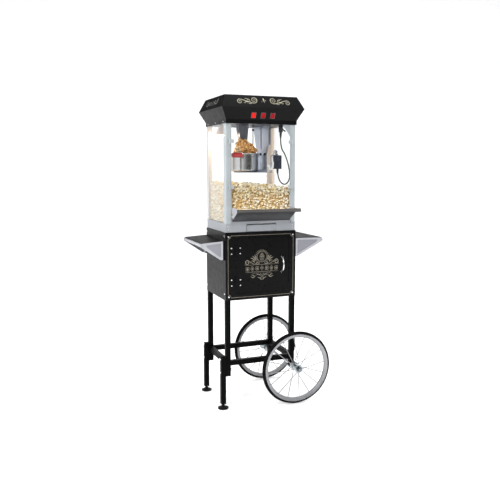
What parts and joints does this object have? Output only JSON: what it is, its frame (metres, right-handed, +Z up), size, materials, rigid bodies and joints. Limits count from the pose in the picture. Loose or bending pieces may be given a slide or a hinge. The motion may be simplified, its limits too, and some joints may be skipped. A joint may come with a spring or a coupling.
{
  "type": "popcorn cart",
  "caption": "Popcorn cart: glazed popping chamber with hanging kettle and canopy on a wheeled cabinet with side shelves.",
  "frame": {"origin": "on the floor, under the middle of the cabinet's footprint", "axes": "+Z up, the door and serving tray face -Y, the wheels are on the +X side and the feet on the -X side"},
  "size_m": [0.684, 0.5223, 1.563],
  "materials": {
    "black_paint": "gloss",
    "frame_paint": "satin",
    "panel_paint": "satin",
    "grey_paint": "satin",
    "post_metal": "satin",
    "stainless": "brushed",
    "zinc": "satin",
    "chrome": "polished",
    "tyre": "matt",
    "clear_glass": "polished",
    "clear_acrylic": "polished",
    "red_grip": "gloss",
    "red_rocker": "gloss",
    "black_plastic": "gloss",
    "foot_rubber": "matt",
    "shade": "satin",
    "bulb": "frosted"
  },
  "bodies": {
    "cart": {"legs_and_rails": "frame_paint", "extension_legs": "frame_paint", "axle": "zinc", "axle_nuts": "black_plastic", "cabinet_sides": "panel_paint", "cabinet_floor_and_top": "black_paint", "cabinet_back": "panel_paint", "cabinet_front": "black_paint", "fasteners": "chrome", "hinge_leaves_fixed": "black_paint", "door_catch": "black_plastic", "shelf_tops": "black_paint", "shelf_cheeks": "grey_paint", "popper_base": "post_metal", "popcorn_deck": "stainless", "corner_posts": "post_metal", "chamber_glass": "clear_glass", "popper_hinges": "zinc", "canopy": "black_paint", "rocker_bezels": "black_plastic", "ceiling_panel": "panel_paint", "gear_motor": "zinc", "drive_housing": "stainless", "stop_rod": "black_plastic", "kettle_hanger": "stainless", "lamp_shade": "shade", "lamp_bulb": "bulb", "kettle_plug": "black_plastic"},
    "front_foot": {"foot_front": "foot_rubber"},
    "rear_foot": {"foot_rear": "foot_rubber"},
    "front_wheel": {"wheel_front_tyre": "tyre", "wheel_front_rim": "chrome", "wheel_front_spokes": "chrome", "wheel_front_hub": "zinc"},
    "rear_wheel": {"wheel_rear_tyre": "tyre", "wheel_rear_rim": "chrome", "wheel_rear_spokes": "chrome", "wheel_rear_hub": "zinc"},
    "storage_door": {"cabinet_door": "black_paint", "hinge_leaves_door": "black_paint", "hinge_screws_door": "chrome", "door_handle": "chrome"},
    "drawer": {"kernel_drawer": "post_metal"},
    "tray": {"serving_tray": "black_paint", "tray_cheeks": "grey_paint"},
    "left_door": {"popper_door_left": "clear_acrylic", "door_fittings_left": "black_plastic"},
    "right_door": {"popper_door_right": "clear_acrylic", "door_fittings_right": "black_plastic"},
    "kettle": {"kettle_pot": "stainless", "kettle_bracket": "stainless", "kettle_lever": "zinc", "kettle_grip": "red_grip", "junction_box": "black_plastic"},
    "knob": {"thermostat_knob": "chrome"},
    "agitator": {"stirrer": "stainless"},
    "shaft": {"drive_shaft": "zinc"},
    "switch_1": {"rocker_1": "red_rocker"},
    "switch_2": {"rocker_2": "red_rocker"},
    "switch_3": {"rocker_3": "red_rocker"}
  },
  "joints": [
    {"name": "front_wheel_spin", "type": "hinge", "parent": "cart", "child": "front_wheel", "pos_m": [0.1761, -0.208, 0.19], "axis": [0, 1, 0], "continuous": true},
    {"name": "rear_wheel_spin", "type": "hinge", "parent": "cart", "child": "rear_wheel", "pos_m": [0.1761, 0.208, 0.19], "axis": [0, 1, 0], "continuous": true},
    {"name": "front_foot_turn", "type": "hinge", "parent": "cart", "child": "front_foot", "pos_m": [-0.2015, -0.1411, 0.03], "axis": [0, 0, 1], "continuous": true},
    {"name": "rear_foot_turn", "type": "hinge", "parent": "cart", "child": "rear_foot", "pos_m": [-0.2015, 0.1411, 0.03], "axis": [0, 0, 1], "continuous": true},
    {"name": "storage_door_swing", "type": "hinge", "parent": "cart", "child": "storage_door", "pos_m": [-0.136, -0.1596, 0.73], "axis": [0, 0, 1], "range_deg": [-110, 0]},
    {"name": "drawer_slide", "type": "slide", "parent": "cart", "child": "drawer", "axis": [0, -1, 0], "range_m": [0, 0.18]},
    {"name": "tray_fold", "type": "hinge", "parent": "cart", "child": "tray", "pos_m": [0, -0.156, 0.955], "axis": [-1, 0, 0], "range_deg": [0, 59]},
    {"name": "left_door_swing", "type": "hinge", "parent": "cart", "child": "left_door", "pos_m": [-0.1675, -0.1582, 1.25], "axis": [0, 0, -1], "range_deg": [0, 105]},
    {"name": "right_door_swing", "type": "hinge", "parent": "cart", "child": "right_door", "pos_m": [0.1675, -0.1582, 1.25], "axis": [0, 0, 1], "range_deg": [0, 105]},
    {"name": "kettle_tip", "type": "hinge", "parent": "cart", "child": "kettle", "pos_m": [0.06, 0.03, 1.28], "axis": [1, 0, 0], "range_deg": [0, 95]},
    {"name": "thermostat_turn", "type": "hinge", "parent": "kettle", "child": "knob", "pos_m": [0.108, -0.08, 1.29], "axis": [0, 0, 1], "range_deg": [0, 270]},
    {"name": "shaft_spin", "type": "hinge", "parent": "cart", "child": "shaft", "pos_m": [-0.031, 0, 1.36], "axis": [0, 0, 1], "continuous": true},
    {"name": "stirrer_spin", "type": "hinge", "parent": "kettle", "child": "agitator", "pos_m": [-0.031, 0, 1.2], "axis": [0, 0, 1], "continuous": true},
    {"name": "rocker_1_rock", "type": "hinge", "parent": "cart", "child": "switch_1", "pos_m": [-0.0487, -0.17314, 1.46682], "axis": [1, 0, 0], "range_deg": [0, 16]},
    {"name": "rocker_2_rock", "type": "hinge", "parent": "cart", "child": "switch_2", "pos_m": [0.001, -0.17314, 1.46682], "axis": [1, 0, 0], "range_deg": [0, 16]},
    {"name": "rocker_3_rock", "type": "hinge", "parent": "cart", "child": "switch_3", "pos_m": [0.0512, -0.17314, 1.46682], "axis": [1, 0, 0], "range_deg": [0, 16]}
  ],
  "couplings": [
    {"joint": "stirrer_spin", "follows": "shaft_spin", "ratio": 1}
  ]
}
